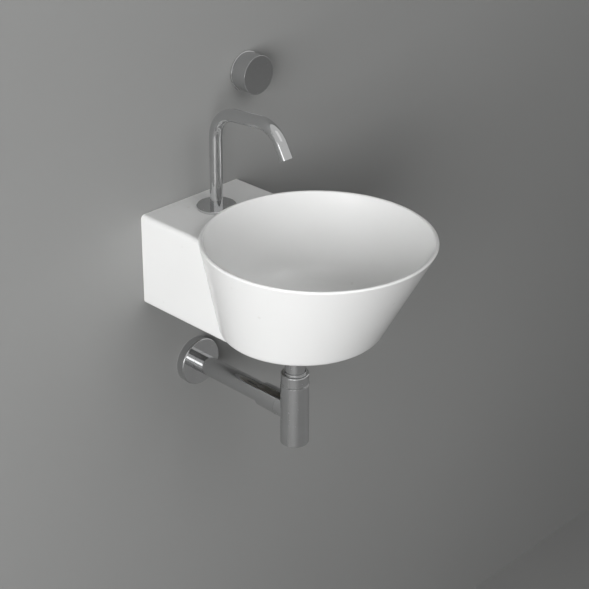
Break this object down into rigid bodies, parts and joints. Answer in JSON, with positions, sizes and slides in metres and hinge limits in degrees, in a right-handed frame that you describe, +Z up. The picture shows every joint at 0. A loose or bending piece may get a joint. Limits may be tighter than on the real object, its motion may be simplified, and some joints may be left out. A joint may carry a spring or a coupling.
{
  "type": "washbasin",
  "caption": "Small wall-hung washbasin: round bowl on a square block, tube spout, round wall knob, lift-off waste cover and bottle trap.",
  "frame": {"origin": "on the wall's face, midway between the two fixing studs", "axes": "+X to the right as one stands in front of the basin, +Y into the wall, +Z up"},
  "size_m": [0.347, 0.5171, 0.554],
  "materials": {
    "glazed_ceramic": "glossy white glaze",
    "zinc_steel": "zinc plated",
    "white_plastic": "moulded",
    "chrome": "polished chrome plate on brass",
    "screen_steel": "satin",
    "brass": "turned, unplated",
    "black_rubber": "matt",
    "alumina": "lapped, matt"
  },
  "bodies": {
    "fixed": {"basin": "glazed_ceramic", "fixing_studs": "zinc_steel", "fixing_sleeves": "white_plastic", "fixing_washers": "zinc_steel", "fixing_nuts": "zinc_steel", "tap_flange": "chrome", "tap_base_seal": "black_rubber", "tap_shank": "brass", "tap_rubber_washer": "black_rubber", "tap_metal_washer": "zinc_steel", "tap_locknut": "brass", "knob_plate": "chrome", "valve_body": "brass", "cartridge_body": "brass", "fixed_disc": "alumina", "seat_seal": "black_rubber", "waste_body": "chrome", "waste_upper_gasket": "black_rubber", "waste_lower_gasket": "black_rubber", "waste_locknut": "brass", "union_nut": "chrome", "union_seal": "black_rubber", "inlet_tube": "chrome", "trap_cap": "chrome", "trap_cap_seal": "black_rubber", "trap_body": "chrome", "trap_plug": "chrome", "trap_plug_seal": "black_rubber", "outlet_nut": "chrome", "outlet_seal": "black_rubber", "outlet_tube": "chrome", "wall_rosette": "chrome", "rosette_ring": "black_rubber"},
    "spout_set": {"spout": "chrome", "spout_foot": "brass", "spout_o_rings": "black_rubber", "spout_snap_ring": "zinc_steel", "aerator_housing": "chrome", "aerator_screen": "screen_steel", "aerator_insert": "white_plastic", "aerator_seal": "black_rubber"},
    "knob_set": {"knob": "chrome", "knob_adapter": "white_plastic", "knob_grub_screw": "zinc_steel", "valve_spindle": "brass", "spindle_o_ring": "black_rubber", "turning_disc": "alumina"},
    "cover": {"waste_cover": "chrome"}
  },
  "joints": [
    {"name": "spout_swivel", "type": "hinge", "parent": "fixed", "child": "spout_set", "pos_m": [0, -0.058, 0.035], "axis": [0, 0, 1], "range_deg": [-45, 45]},
    {"name": "knob_turn", "type": "hinge", "parent": "fixed", "child": "knob_set", "pos_m": [0.118, -0.015, 0.226], "axis": [0, -1, 0], "range_deg": [0, 90]},
    {"name": "cover_lift", "type": "slide", "parent": "fixed", "child": "cover", "axis": [0, 0, 1], "range_m": [0, 0.03]}
  ]
}
